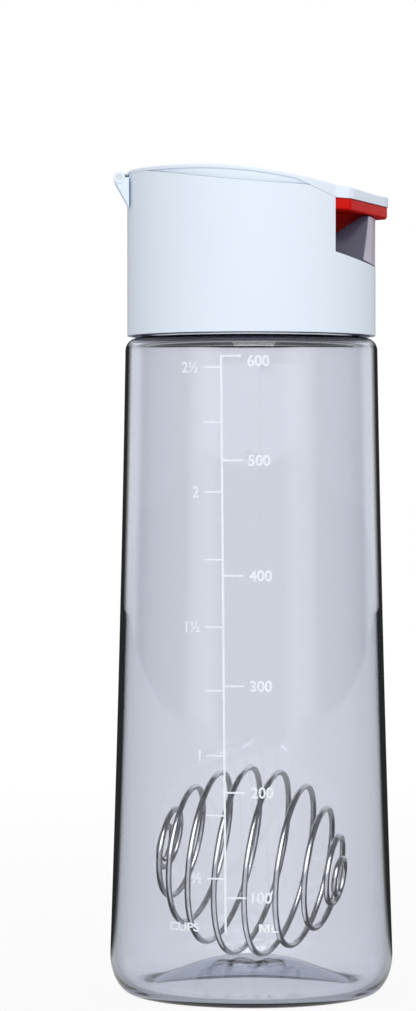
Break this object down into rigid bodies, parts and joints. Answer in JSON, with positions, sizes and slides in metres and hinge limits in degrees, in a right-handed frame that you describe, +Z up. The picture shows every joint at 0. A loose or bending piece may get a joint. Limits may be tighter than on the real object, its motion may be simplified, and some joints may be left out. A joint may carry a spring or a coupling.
{
  "type": "salad dressing shaker bottle",
  "caption": "Clear tapered shaker bottle with a printed measuring scale, a screw lid with a flip cover and sealed pouring spout, and a loose wire whisk ball inside.",
  "frame": {"origin": "centre of the base ring, on the surface that the bottle stands on", "axes": "+Z up along the bottle's axis, +X towards the pouring spout"},
  "size_m": [0.0762, 0.0762, 0.2213],
  "materials": {
    "clear_plastic": "clear, grey-lavender tint, polished",
    "white_plastic": "moulded, soft gloss",
    "grey_plastic": "moulded, fine satin",
    "silicone": "matt silicone",
    "red_silicone": "satin silicone",
    "pin_steel": "drawn",
    "whisk_steel": "drawn wire, polished"
  },
  "bodies": {
    "bottle": {"bottle_body": "clear_plastic"},
    "gasket": {"lid_gasket": "silicone"},
    "lid": {"lid_shell": "white_plastic", "lid_insert": "grey_plastic", "hinge_pin": "pin_steel"},
    "cover": {"flip_cover": "white_plastic", "spout_seal": "red_silicone"},
    "whisk": {"whisk_ball": "whisk_steel"}
  },
  "joints": [
    {"name": "lid_lift", "type": "slide", "parent": "bottle", "child": "gasket", "axis": [0, 0, 1], "range_m": [0, 0.0049]},
    {"name": "lid_turn", "type": "hinge", "parent": "gasket", "child": "lid", "pos_m": [0, 0, 0.1906], "axis": [0, 0, 1], "range_deg": [0, 220]},
    {"name": "flip_open", "type": "hinge", "parent": "lid", "child": "cover", "pos_m": [-0.03545, 0, 0.2192], "axis": [0, -1, 0], "range_deg": [0, 115]},
    {"name": "whisk_bounce", "type": "slide", "parent": "bottle", "child": "whisk", "axis": [0, 0, 1], "range_m": [0, 0.112]}
  ],
  "couplings": [
    {"joint": "lid_lift", "follows": "lid_turn", "m_per_rad": 0.0012732}
  ]
}
